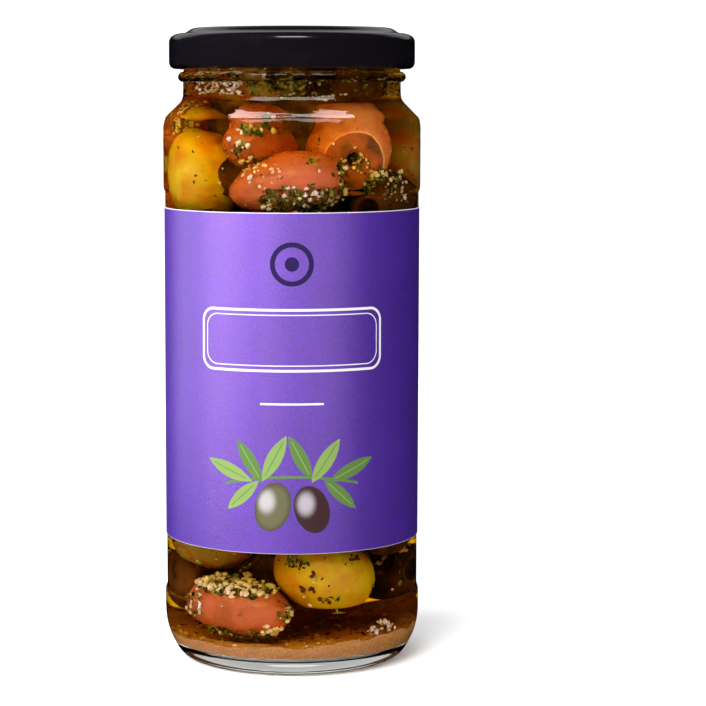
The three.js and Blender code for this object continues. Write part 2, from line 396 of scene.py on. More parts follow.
def inner_section(bore, section, reach=0.0):
    """Draws the glass's inner wall down from the mouth to the middle of the floor, moved out by reach."""
    corner = (bore - CORNER_WIDTH, FLOOR_HEIGHT + CORNER_HEIGHT)
    mouth = MOUTH_RADIUS + reach
    wall = bore + reach
    low = FLOOR_HEIGHT + FLOOR_CROWN - reach
    section.line(mouth, MOUTH_START, steps=4)
    section.curve((mouth, MOUTH_START - 4), (wall, BORE_END + 5), (wall, BORE_END), steps=24)
    section.line(wall, corner[1], steps=30)
    section.arc(corner, CORNER_WIDTH + reach, CORNER_HEIGHT + reach, 0, -90, steps=18)
    section.curve((corner[0] * 0.5, low), (0.0, low), steps=12)
    return section


def inner_radius(bore, height):
    """Radius of the glass's inner wall, in millimetres, where it rounds into the floor and above that."""
    drop = min(1.0, max(0.0, (FLOOR_HEIGHT + CORNER_HEIGHT - height) / CORNER_HEIGHT))
    return bore - CORNER_WIDTH * (1 - math.sqrt(1 - drop * drop))


class JAR_OT_glass(bpy.types.Operator):
    """Makes the clear glass jar, with its push-up, heel, label panel, shoulder, bead and rim"""

    bl_idname = "olive_jar.glass"
    bl_label = "Glass"

    def execute(self, context):
        sizes = context.scene.jar_sizes
        body = sizes.body_radius / MM
        panel = body - PANEL_RECESS
        rim = sizes.rim_height / MM
        section = Section(0.0, 1.8)
        section.curve((15.7, 1.8), (22.4, 0.0), steps=16).line(26.4, 0.0, steps=3)
        section.curve((28.3, 0.5), (29.6, 3.4), steps=10)
        section.curve((body, 7.0), (body, 12.0), steps=14).line(body, 15.9, steps=3)
        section.curve((body, 16.7), (panel, 16.7), (panel, 17.5), steps=6).line(panel, 115.0, steps=20)
        section.curve((panel, 115.8), (body, 115.8), (body, 116.6), steps=6).line(body, 130.0, steps=40)
        section.curve((body, 132.8), (31.0, 133.7), steps=14).line(28.1, 136.6, steps=12)
        section.curve((26.75, 137.9), (26.75, 139.7), steps=12).line(26.75, 142.15, steps=3)
        section.arc((26.75, 143.4), 1.25, 1.25, -90, 90, steps=14)
        section.line(25.9, 146.6, steps=2).line(25.9, rim - 1.2, steps=3)
        section.curve((25.9, rim), (24.7, rim), steps=6).curve((23.8, rim), (23.8, rim - 1.2), steps=6)
        outside = (len(section.points) - 1) * GLASS_SIDES
        inner_section(sizes.bore_radius / MM, section)
        vertices, faces = lathe(section.points, GLASS_SIDES)
        vertices = [self.wavy(Vector(v)) for v in vertices]
        finishes = [
            self.finish(context, "clear_glass", GLASS_INDEX, GLASS_MIRROR),
            self.finish(context, "wet_glass", WET_INDEX, WETTED),
        ]
        wet = (FLOOR_HEIGHT + FLOOR_CROWN + WET_START) * MM
        parts = [int(i >= outside and vertices[face[0]].z > wet) for i, face in enumerate(faces)]
        make_piece(
            "jar_glass", vertices, faces, finishes, "clear_glass", ["glass_jar"], sharp=50, parts=parts
        )
        return {"FINISHED"}

    @staticmethod
    def finish(context, name, index, mirror):
        """Clear glass with the uneven surface of a moulding, that bends and mirrors light as given."""
        finish = Finish(name)
        ripples = finish.grain(9, detail=1.0, stretch=(1.0, 1.0, 2.2))
        return finish.done(
            Base_Color=context.scene.jar_colours.glass,
            Roughness=0.0,
            IOR=index,
            Transmission_Weight=1.0,
            Specular_Tint=mirror,
            Normal=finish.bump(ripples, 0.05),
        )

    @staticmethod
    def wavy(point):
        """Moves the outside of the shoulder in shallow level ripples, as moulded glass has."""
        reach = math.hypot(point.x, point.y)
        height = point.z / MM
        if reach < RIPPLE_REACH * MM or not RIPPLE_LOW < height < RIPPLE_HIGH:
            return point
        fade = min(1.0, (height - RIPPLE_LOW) / 6) * min(1.0, (RIPPLE_HIGH - height) / 2)
        level = Vector((point.x * 110, point.y * 110, height / 1.9))
        shift = (0.1 * noise.noise(level) + 0.045 * noise.noise(level * 2.1)) * MM * fade
        return Vector((point.x * (1 + shift / reach), point.y * (1 + shift / reach), point.z))


LID_SIDES = 160
LID_WALL = 0.45
LID_PANEL_DROP = 0.9
LID_PANEL_RADIUS = 21.0
LID_CREST = (22.6, 23.6)
LID_STEP = (27.0, 154.0)
SKIRT_TOP = 151.7
CURL_ROUND = 1.9
CURL_INNER = 27.1
CURL_HEIGHT = 2.3


class JAR_OT_lid(bpy.types.Operator):
    """Makes the black twist-off lid, with its recessed panel, stepped rim, skirt and rolled curl"""

    bl_idname = "olive_jar.lid"
    bl_label = "Lid"

    def execute(self, context):
        sizes = context.scene.jar_sizes
        radius = sizes.lid_radius / MM
        bottom = sizes.lid_bottom / MM
        top = sizes.lid_top / MM
        panel = top - LID_PANEL_DROP
        crest_inner, crest_outer = LID_CREST
        curl_top = bottom + CURL_HEIGHT
        skin = Section(0.0, panel).line(14.0, panel, steps=4).line(LID_PANEL_RADIUS, panel, steps=3)
        skin.curve((22.0, panel), (21.8, top), (crest_inner, top), steps=12).line(crest_outer, top, steps=2)
        skin.curve((25.2, top), (25.6, LID_STEP[1]), LID_STEP, steps=16)
        skin.curve((radius, 153.8), (radius, SKIRT_TOP), steps=12)
        skin.line(radius, bottom + CURL_ROUND, steps=4)
        inside = self.inset(skin.points[:-1], LID_WALL)
        skin.curve((radius, bottom), (radius - CURL_ROUND, bottom), steps=8)
        skin.curve((CURL_INNER, bottom), (CURL_INNER, bottom + 1.1), steps=6)
        skin.curve((CURL_INNER, curl_top), (CURL_INNER + 1.2, curl_top), steps=6)
        skin.line(radius - LID_WALL, bottom + 3.0)
        vertices, faces = lathe(skin.points + inside[::-1], LID_SIDES)
        look = context.scene.jar_colours
        finish = Finish("black_lacquer")
        peel = finish.grain(0.7, detail=1.0)
        dust = finish.grain(3.5, detail=4.0, roughness=0.6)
        material = finish.done(
            Base_Color=finish.mix(dust.ramp(0.45, 0.8, 0.0, 0.04), look.lid, (0.03, 0.028, 0.032)),
            Roughness=dust.ramp(0.3, 0.75, 0.17, 0.19),
            Specular_IOR_Level=0.5,
            Normal=finish.bump(peel, 0.006),
        )
        make_piece("lid_cap", vertices, faces, [material], "black_lid", ["lid"], sharp=40)
        return {"FINISHED"}

    @staticmethod
    def inset(points, distance):
        """The skin moved inwards along its normals."""
        moved = []
        for i, (radius, height) in enumerate(points):
            before = points[max(0, i - 1)]
            after = points[min(len(points) - 1, i + 1)]
            along = Vector((after[0] - before[0], after[1] - before[1])).normalized()
            shift = along.y * distance if radius > 0 else 0.0
            moved.append((radius + shift, height - along.x * distance))
        return moved


LABEL_COLUMNS = 320
LABEL_ROWS = 9
SPRIG_HEIGHT = 47.0
RULE_HEIGHT = 66.4
RULE_HALF = (7.6, 0.24)
PLATE_HEIGHT = 81.5
PLATE_CORNER = 3.0
EMBLEM_HEIGHT = 99.5
EMBLEM_RING = 4.6
EMBLEM_DOT = 1.7
STEM_BOW = 70.0
STEM_HALF = (16.5, 0.32)
# Leaves and olives of the sprig: the middle across and up, the angle in degrees, half length and half width
LEAVES = (
    (-15.5, 3.2, 158, 6.4, 1.7),
    (-10.2, 5.6, 122, 6.0, 1.7),
    (-4.2, 6.4, 62, 6.2, 1.8),
    (2.0, 6.6, 118, 6.0, 1.7),
    (8.2, 5.8, 56, 6.2, 1.8),
    (14.8, 3.4, 24, 6.4, 1.7),
    (-12.0, -2.6, 222, 5.4, 1.6),
    (11.8, -2.4, -42, 5.6, 1.6),
)
PRINT_OLIVES = ((-4.6, -5.2, 74, 6.0, 4.3), (4.8, -5.8, 108, 5.8, 4.2))


class JAR_OT_label(bpy.types.Operator):
    """Makes the wrapped paper label with its satin ground, white edge, plate, rule and olive sprig"""

    bl_idname = "olive_jar.label"
    bl_label = "Label"

    thickness = 0.15 * MM

    def execute(self, context):
        sizes = context.scene.jar_sizes
        inner = sizes.label_radius - self.thickness
        lap = sizes.label_lap / sizes.label_radius
        rows = LABEL_ROWS
        rise = (sizes.label_top - sizes.label_bottom) / (rows - 1)
        heights = [sizes.label_bottom + rise * row for row in range(rows)]
        vertices = []
        for i in range(LABEL_COLUMNS + 1):
            turn = -math.pi - lap / 2 + (math.tau + lap) * i / LABEL_COLUMNS
            lift = self.thickness * 1.15 * self.ease((turn - (math.pi - lap * 0.75)) / (lap * 0.3))
            for radius in (inner + lift, inner + self.thickness + lift):
                for height in heights:
                    vertices.append((radius * math.sin(turn), -radius * math.cos(turn), height))
        ring = [*range(rows - 1, -1, -1), *range(rows, 2 * rows)]
        faces = [tuple(ring), tuple(LABEL_COLUMNS * 2 * rows + k for k in reversed(ring))]
        for i in range(LABEL_COLUMNS):
            near = i * 2 * rows
            far = near + 2 * rows
            for a, b in zip(ring, ring[1:] + ring[:1]):
                faces.append((near + a, near + b, far + b, far + a))
        finish = self.finish(context)
        make_piece("label_wrap", vertices, faces, [finish], "purple_paper", ["label"], sharp=40)
        return {"FINISHED"}

    @staticmethod
    def ease(share):
        """Smooth step from 0 to 1."""
        share = min(1.0, max(0.0, share))
        return share * share * (3 - 2 * share)

    def finish(self, context):
        """The print: across is the distance round from the front and up the height, in millimetres."""
        sizes = context.scene.jar_sizes
        look = context.scene.jar_colours
        finish = Finish("satin_label")
        x, y, z = finish.parts(finish.place())
        across = x.math("ARCTAN2", x, -y) * (sizes.label_radius / MM)
        up = z * (1 / MM)
        fine = finish.grain(0.32, detail=2.0, roughness=0.7)
        cloud = finish.grain(14, detail=2.0)
        uneven = fine.ramp(0.35, 0.65, 0.0, 0.6) + cloud.ramp(0.3, 0.7, 0.0, 0.1)
        ground = finish.mix(uneven, look.label, look.label_dark)
        plate = abs(self.plate(across, up - PLATE_HEIGHT, 23.0, 7.2)) - 0.3
        inner_plate = abs(self.plate(across, up - PLATE_HEIGHT, 21.8, 6.0)) - 0.12
        rule = (abs(across) - RULE_HALF[0]).at_least(abs(up - RULE_HEIGHT) - RULE_HALF[1])
        white = self.inside(plate.at_most(inner_plate).at_most(rule))
        top_edge = (sizes.label_top / MM - 0.18) - up
        bottom_edge = up - (sizes.label_bottom / MM + 0.1)
        white = white.at_least(self.inside(top_edge)).at_least(self.inside(bottom_edge) * 0.6)
        colours = finish.mix(white, ground, look.paper)
        colours, emblem = self.emblem(finish, across, up - EMBLEM_HEIGHT, colours, look)
        colours, sprig = self.sprig(finish, across, up - SPRIG_HEIGHT, colours, look)
        satin = finish.shader(
            Base_Color=colours,
            Roughness=fine.ramp(0.3, 0.7, 0.34, 0.46),
            Specular_IOR_Level=0.5,
            Specular_Tint=(1.0, 0.64, 0.84, 1.0),
            Normal=finish.bump(fine, 0.05),
        )
        matt = finish.shader(Base_Color=colours, Roughness=0.6, Specular_IOR_Level=0.05)
        inked = white.at_least(emblem).at_least(sprig)
        surface = finish.node("ShaderNodeMixShader", inputs={0: inked, 1: satin, 2: matt})
        return finish.done(surface=surface)

    @staticmethod
    def inside(distance):
        """1 where a signed distance in millimetres is below 0, with a soft edge."""
        return distance.ramp(0.06, -0.06)

    @staticmethod
    def plate(across, up, half_width, half_height):
        """Signed distance to a plate with rounded corners."""
        out_x = abs(across) - (half_width - PLATE_CORNER)
        out_y = abs(up) - (half_height - PLATE_CORNER)
        far_x = out_x.at_least(0.0)
        far_y = out_y.at_least(0.0)
        round_part = (far_x * far_x + far_y * far_y) ** 0.5
        return round_part + out_x.at_least(out_y).at_most(0.0) - PLATE_CORNER

    @staticmethod
    def turned(across, up, place_x, place_y, angle):
        """Coordinates along and across a shape that lies at a place and an angle."""
        cosine = math.cos(math.radians(angle))
        sine = math.sin(math.radians(angle))
        off_x = across - place_x
        off_y = up - place_y
        return off_x * cosine + off_y * sine, off_y * cosine - off_x * sine

    def leaf(self, across, up, place_x, place_y, angle, half_length, half_width):
        """Signed distances to a pointed leaf and to its midrib."""
        along, aside = self.turned(across, up, place_x, place_y, angle)
        radius = (half_length**2 + half_width**2) / (2 * half_width)
        offset = abs(aside) + (radius - half_width)
        blade = (along * along + offset * offset) ** 0.5 - radius
        return blade, (blade + 0.7).at_least(abs(aside) - 0.11)

    def emblem(self, finish, across, up, colours, look):
        """A plain dark ring and dot above the plate: the colours with it, and where it lies."""
        away = (across * across + up * up) ** 0.5
        ring = abs(away - EMBLEM_RING) - 0.6
        dot = away - EMBLEM_DOT
        mask = self.inside(ring.at_most(dot))
        return finish.mix(mask, colours, look.label_dark), mask

    def sprig(self, finish, across, up, colours, look):
        """A branch with leaves above and two olives below: the colours with it, and where it lies."""
        below = up + (STEM_BOW - 2.0)
        bow = (across * across + below * below) ** 0.5 - STEM_BOW
        stem = (abs(bow) - STEM_HALF[1]).at_least(abs(across) - STEM_HALF[0])
        mask = self.inside(stem)
        colours = finish.mix(mask, colours, look.leaf)
        for number, leaf in enumerate(LEAVES):
            blade, midrib = self.leaf(across, up, *leaf)
            first, second = (look.leaf, look.leaf_light) if number % 2 else (look.leaf_light, look.leaf)
            shape = self.inside(blade)
            colours = finish.mix(shape, colours, first)
            mask = mask.at_least(shape)
            colours = finish.mix(self.inside(midrib), colours, second)
        for number, (place_x, place_y, angle, half_length, half_width) in enumerate(PRINT_OLIVES):
            along, aside = self.turned(across, up, place_x, place_y, angle)
            egg = ((along / half_length) ** 2.0 + (aside / half_width) ** 2.0) ** 0.5
            skin = look.print_dark if number else look.print_green
            glow = ((across - (place_x - 1.5)) / 2.6) ** 2.0 + ((up - (place_y + 1.4)) / 3.4) ** 2.0
            tone = finish.mix(glow.ramp(1.6, 0.0) ** 2.0 * 0.5, skin, look.paper)
            tone = finish.mix(egg.ramp(0.7, 1.0, 0.0, 0.55), tone, (0.02, 0.012, 0.012))
            shape = self.inside((egg - 1.0) * half_width)
            colours = finish.mix(shape, colours, tone)
            mask = mask.at_least(shape)
        return colours, mask


LONG, SLIM, ROUND, WIDE, CUT = "long", "slim", "round", "wide", "cut"
# Sizes in millimetres: point narrows the stem end, and cut is the flat end's place along the half length
SHAPES = {
    LONG: {"length": 25.5, "girth": 14.6, "point": 0.12, "cut": 0.9, "pit_hole": 2.6},
    SLIM: {"length": 27.0, "girth": 14.2, "point": -0.02, "cut": 0.975, "pit_hole": 1.0},
    ROUND: {"length": 23.0, "girth": 17.4, "point": 0.04, "cut": 0.92, "pit_hole": 2.4},
    WIDE: {"length": 23.6, "girth": 18.4, "point": 0.02, "cut": 0.92, "pit_hole": 2.4},
    CUT: {"length": 24.0, "girth": 18.4, "point": 0.04, "cut": 0.62, "pit_hole": 1.8},
}
KALAMATA, AMBER, YELLOW, PALE, DARK = "kalamata", "amber", "yellow", "pale", "dark"
# The olives that show: shape, kind, azimuth, radius and height of the middle, heading and lean of the axis
FRONT_OLIVES = (
    (LONG, KALAMATA, -3, 20.4, 118, 0, 12),
    (WIDE, YELLOW, -70, 19.1, 119.6, 15, -58),
    (LONG, KALAMATA, -26, 13.6, 126.8, -86, -8),
    (CUT, AMBER, 44, 17, 126.2, 120, -20),
    (ROUND, PALE, 106, 19, 124.5, -20, 24),
    (SLIM, KALAMATA, -35, 20.4, 15.4, 0, -3),
    (WIDE, YELLOW, 22, 18.9, 23.4, 4, -26),
    (ROUND, PALE, -68, 17.6, 31.5, -12, 4),
    # A near-black olive set deep in the gap between the front olives, partly painted shade for that gap
    (LONG, DARK, -37, 10, 119.5, -84, 0),
)
# Tiers of olives at the sides and back: height, radius, first azimuth, arc, and their kinds
TIERS = (
    (18.6, 19.6, 106, 166, (DARK, PALE, DARK)),
    (33.2, 18.2, 80, 150, (DARK, YELLOW, KALAMATA)),
    (113.5, 19.4, 70, 170, (DARK, YELLOW, PALE, KALAMATA)),
    (129, 17.8, 158, 84, (YELLOW, KALAMATA)),
    (140.8, 11.5, 55, 255, (DARK, YELLOW, KALAMATA, PALE)),
)
TIER_JITTER = {"azimuth": 4, "height": 1, "heading": 22, "lean": 16}
TIER_SEED = 7


def tier_draws(seed):
    """Endless numbers from 0 to 1, the same each run."""
    state = seed
    while True:
        state = (state * 1664525 + 1013904223) % 4294967296
        yield state / 4294967296


def all_olives():
    """Every olive of the heap: those that face the front, then the tiers round the sides and back."""
    olives = list(FRONT_OLIVES)
    draws = tier_draws(TIER_SEED)

    def jitter(name):
        return TIER_JITTER[name] * (2 * next(draws) - 1)

    for height, radius, start, arc, kinds in TIERS:
        for i, kind in enumerate(kinds):
            shape = LONG if next(draws) < 0.62 else ROUND
            azimuth = start + arc * i / (len(kinds) - 1) + jitter("azimuth")
            level = height + jitter("height")
            heading = (0 if next(draws) < 0.5 else 180) + jitter("heading")
            lean = jitter("lean")
            olives.append((shape, kind, azimuth, radius, level, heading, lean))
    return olives


SKIN_STEPS = 26
RIM_STEPS = 4
OLIVE_SIDES = 44


def olive_section(shape):
    """Section of one pitted olive about its own axis, stem end down, with a rounded rim and a pit hole."""
    form = SHAPES[shape]
    half = form["length"] / 2
    face = half * form["cut"]
    hole = form["pit_hole"]
    cut_turn = math.acos(-form["cut"])
    section = Section(0.0, -half)
    for step in range(1, SKIN_STEPS + 1):
        turn = cut_turn * step / SKIN_STEPS
        rim = form["girth"] / 2 * math.sin(turn) * (1 - form["point"] * math.cos(turn))
        section.points.append((rim, -half * math.cos(turn)))
    section.curve((rim - 0.3, face + 0.35), (rim - 0.9, face + 0.25), steps=RIM_STEPS)
    section.line(hole + 0.5, face, steps=5)
    section.curve((hole, face - 0.1), (hole, face - 0.8), steps=4)
    section.line(hole * 0.9, face - 4.0, steps=4)
    section.curve((hole * 0.8, face - 6.0), (0.0, face - 6.2), steps=4)
    return section.points


def olive_mesh(number, olive):
    """Vertices and faces of one olive in its place, with lumps and wrinkles of its own."""
    shape, _kind, azimuth, radius, height, heading, lean = olive
    around = math.radians(azimuth)
    outward = Vector((math.sin(around), -math.cos(around), 0))
    tangent = Vector((math.cos(around), math.sin(around), 0))
    turn = math.radians(heading)
    tilt = math.radians(lean)
    axis = (tangent * math.cos(turn) + outward * math.sin(turn)) * math.cos(tilt)
    axis.z = math.sin(tilt)
    pose = Vector((0, 0, 1)).rotation_difference(axis)
    place = outward * radius * MM + Vector((0, 0, height * MM))
    vertices, faces = lathe(olive_section(shape), OLIVE_SIDES)
    own = Vector((number * 7.3, number * 3.1, number * 1.7))
    wrinkle = 0.16 if shape in (LONG, SLIM) else 0.07
    placed = []
    for vertex in vertices:
        point = Vector(vertex) / MM
        away = Vector((point.x, point.y, point.z * 0.35)).normalized()
        lump = 0.42 * noise.noise(point * 0.16 + own) + 0.18 * noise.noise(point * 0.42 - own)
        crease = -abs(noise.noise(Vector((point.x, point.y, point.z * 0.4)) * 0.8 + own)) * wrinkle * 2
        fine = wrinkle * 0.45 * noise.noise(point * 2.3 + own)
        point += away * (lump + crease + fine + wrinkle * 0.5)
        placed.append(place + pose @ (point * MM))
    return placed, faces


OLIVE_CACHE = {}


def olive_surfaces():
    """The meshes of all olives, made once, with an outward normal for every vertex."""
    if not OLIVE_CACHE:
        for number, olive in enumerate(all_olives()):
            vertices, faces = olive_mesh(number, olive)
            mesh = outward_mesh("olive_form", vertices, faces)
            normals = [v.normal.copy() for v in mesh.vertices]
            OLIVE_CACHE[number] = (olive[1], vertices, faces, normals)
            bpy.data.meshes.remove(mesh)
    return OLIVE_CACHE


class JAR_OT_olives(bpy.types.Operator):
    """Makes the olives of the heap, one piece for each kind"""

    bl_idname = "olive_jar.olives"
    bl_label = "Olives"

    def execute(self, context):
        look = context.scene.jar_colours
        brown = look.kalamata_deep
        orange = look.yellow_deep
        # Skin, blotches, spots and cut flesh, then the roughness and the gloss
        finishes = {
            KALAMATA: (look.kalamata, brown, (0.36, 0.12, 0.06), brown, 0.2, 0.15),
            AMBER: (look.amber, look.kalamata, (0.5, 0.17, 0.05), look.flesh, 0.22, 0.15),
            YELLOW: (look.yellow, orange, (0.24, 0.24, 0.05), orange, 0.16, 0.15),
            PALE: (look.pale, brown, (0.2, 0.15, 0.05), look.flesh, 0.2, 0.1),
            DARK: (look.dark, (0.016, 0.007, 0.003), (0.06, 0.03, 0.015), look.dark, 0.24, 0.0),
        }
        skin_end = SKIN_STEPS * OLIVE_SIDES
        rim_end = skin_end + RIM_STEPS // 2 * OLIVE_SIDES
        for kind, (main, deep, spot, flesh, roughness, gloss) in finishes.items():
            vertices = []
            faces = []
            parts = []
            for made_kind, own_vertices, own_faces, _normals in olive_surfaces().values():
                if made_kind != kind:
                    continue
                base = len(vertices)
                vertices.extend(own_vertices)
                faces.extend(tuple(base + corner for corner in face) for face in own_faces)
                parts.extend(int(i >= skin_end) + int(i >= rim_end) for i in range(len(own_faces)))
            # The cut orange-brown olive's rim gets a brighter colour: a painted highlight on the lip of its
            # cut end
            edge = look.rim if kind == AMBER else main
            skins = [
                self.skin(kind + "_skin", main, deep, spot, roughness, gloss),
                self.skin(kind + "_rim", edge, main, main, roughness, gloss),
                self.skin(kind + "_cut", flesh, deep, main, roughness + 0.1, gloss),
            ]
            make_piece(kind + "_olives", vertices, faces, skins, "olives", ["olive_heap"], parts=parts)
        return {"FINISHED"}

    @staticmethod
    def skin(name, main, deep, spot, roughness, gloss):
        """Wet olive skin with soft blotches, fine pores and a few spots."""
        finish = Finish(name)
        blotch = finish.grain(6.5, detail=3.0, roughness=0.55)
        pores = finish.grain(0.55, detail=2.0)
        freckle = finish.grain(1.6, detail=1.0)
        tone = finish.mix(blotch.ramp(0.4, 0.68, 0.0, 0.95), main, deep)
        tone = finish.mix(freckle.ramp(0.66, 0.76, 0.0, 0.6), tone, spot)
        tone = finish.mix(pores.ramp(0.5, 0.75, 0.0, 0.22), tone, deep)
        return finish.done(
            Base_Color=tone,
            Roughness=pores.ramp(0.3, 0.7, roughness, roughness + 0.1),
            Specular_IOR_Level=gloss,
            Normal=finish.bump(pores, 0.09),
        )


CORE_LOW = 12.5
CORE_HIGH = 146.0
CORE_ROUND = 4.0


class JAR_OT_core(bpy.types.Operator):
    """Makes the lumpy core that fills the heap behind the olives, dark brown as painted shade between them
    """

    bl_idname = "olive_jar.core"
    bl_label = "Core"

    def execute(self, context):
        sizes = context.scene.jar_sizes
        radius = sizes.core_radius / MM
        flat = radius - CORE_ROUND
        section = Section(0.0, CORE_LOW).line(flat, CORE_LOW, steps=4)
        section.curve((radius, CORE_LOW), (radius, CORE_LOW + CORE_ROUND), steps=6)
        section.line(radius, CORE_HIGH - CORE_ROUND, steps=90)
        section.curve((radius, CORE_HIGH), (flat, CORE_HIGH), steps=6).line(0.0, CORE_HIGH, steps=4)
        vertices, faces = lathe(section.points, 72)
        lumpy = []
        for vertex in vertices:
            point = Vector(vertex)
            out = Vector((point.x, point.y, 0))
            swell = 1.3 * noise.noise(point * 110) + 0.5 * noise.noise(point * 420)
            lumpy.append(point + out.normalized() * swell * MM)
        look = context.scene.jar_colours
        finish = Finish("painted_shade_depth")
        patch = finish.grain(5, detail=3.0)
        bits = finish.grain(1.1, detail=2.0)
        # Both browns, mottled at random, are painted shade for the depth between the olives; the specks
        # keep the herbs' own colour
        tone = finish.mix(patch.ramp(0.35, 0.7), look.core, (0.16, 0.07, 0.025))
        tone = finish.mix(bits.ramp(0.6, 0.72, 0.0, 0.7), tone, look.herb)
        material = finish.done(
            Base_Color=tone, Roughness=0.5, Specular_IOR_Level=0.05, Normal=finish.bump(bits, 0.4)
        )
        make_piece("heap_core", lumpy, faces, [material], "olives", ["olive_heap"])
        return {"FINISHED"}


BED_LEVEL = 7.4
BED_SLOPE = 1.1


def bed_height(x, y, bore):
    """Height of the settled bed, in millimetres, over a place on the floor plan."""
    bank = BED_SLOPE * x / bore
    swells = 0.4 * math.sin(0.31 * x + 1) * math.cos(0.37 * y)
    ripples = 0.25 * math.sin(0.62 * x + 0.55 * y)
    return BED_LEVEL + bank + (swells + ripples)


class JAR_OT_bed(bpy.types.Operator):
    """Makes the settled bed of fine herbs and garlic on the floor of the jar"""

    bl_idname = "olive_jar.bed"
    bl_label = "Settled bed"

    def execute(self, context):
        bore = context.scene.jar_sizes.bore_radius / MM
        underside = FLOOR_HEIGHT + FLOOR_CROWN + 0.05
        edge = inner_radius(bore, BED_LEVEL)
        section = Section(0.0, underside).line(inner_radius(bore, underside), underside, steps=12)
        section.line(edge, BED_LEVEL, steps=1).line(0.0, BED_LEVEL, steps=64)
        vertices, faces = lathe(section.points, 144)
        grainy = []
        for vertex in vertices:
            point = Vector(vertex) / MM
            if point.z > BED_LEVEL - 1e-6:
                height = bed_height(point.x, point.y, bore)
                height += 0.3 * noise.noise(Vector((point.x, point.y, 3)) * 0.8)
                height += 0.22 * noise.noise(Vector((point.x, point.y, 9)) * 2.1)
                reach = math.hypot(point.x, point.y)
                fit = min(1.0, (inner_radius(bore, height) + 0.05) / reach) if reach else 1.0
                point = Vector((point.x * fit, point.y * fit, height))
            grainy.append(point * MM)
        look = context.scene.jar_colours
        finish = Finish("settled_grains")
        grains = finish.grain(0.5, detail=3.0, roughness=0.65)
        patch = finish.grain(4, detail=2.0)
        specks = finish.grain(0.8, detail=1.0)
        tone = finish.mix(grains.ramp(0.3, 0.7), look.bed, (0.46, 0.19, 0.08))
        tone = finish.mix(patch.ramp(0.45, 0.75, 0.0, 0.12), tone, look.core)
        tone = finish.mix(specks.ramp(0.68, 0.76, 0.0, 0.6), tone, look.herb)
        material = finish.done(
            Base_Color=tone, Roughness=0.7, Specular_IOR_Level=0.0, Normal=finish.bump(grains, 0.3)
        )
        make_piece("bed_grains", grainy, faces, [material], "settled_herbs", ["settled_bed"], sharp=60)
        return {"FINISHED"}


BRINE_DENSITY = 350.0


class JAR_OT_brine(bpy.types.Operator):
    """Makes the amber brine that fills the jar and reaches just into the glass's wall"""

    bl_idname = "olive_jar.brine"
    bl_label = "Brine"

    def execute(self, context):
        sizes = context.scene.jar_sizes
        reach = sizes.brine_reach / MM
        level = sizes.brine_level / MM
        section = Section(0.0, level).line(MOUTH_RADIUS + reach, level, steps=6)
        inner_section(sizes.bore_radius / MM, section, reach)
        bottom = FLOOR_HEIGHT + FLOOR_CROWN + BRINE_START
        points = [(radius, max(height, bottom)) for radius, height in section.points]
        vertices, faces = lathe(points, GLASS_SIDES)
        look = context.scene.jar_colours
        finish = Finish("amber_brine")
        material = finish.done(
            absorption=(look.brine, BRINE_DENSITY),
            Base_Color=(1.0, 1.0, 1.0),
            Roughness=0.0,
            IOR=BRINE_INDEX,
            Transmission_Weight=1.0,
            Specular_Tint=WETTED,
        )
        make_piece("brine", vertices, faces, [material], "clear_glass")
        return {"FINISHED"}


HERB, LEAF, BROWN, GARLIC = "herb_flakes", "pale_herb_flakes", "brown_flakes", "garlic_bits"
# Smallest and largest bits of each kind, in millimetres
SIZES = {HERB: (0.2, 0.8), LEAF: (0.3, 1.2), BROWN: (0.3, 1.0), GARLIC: (0.28, 0.85)}
FLAKE_SIDES = 7
FLAKE_THICK = 0.07
GRANULE_SHAPE = (1.15, 0.9, 0.75)

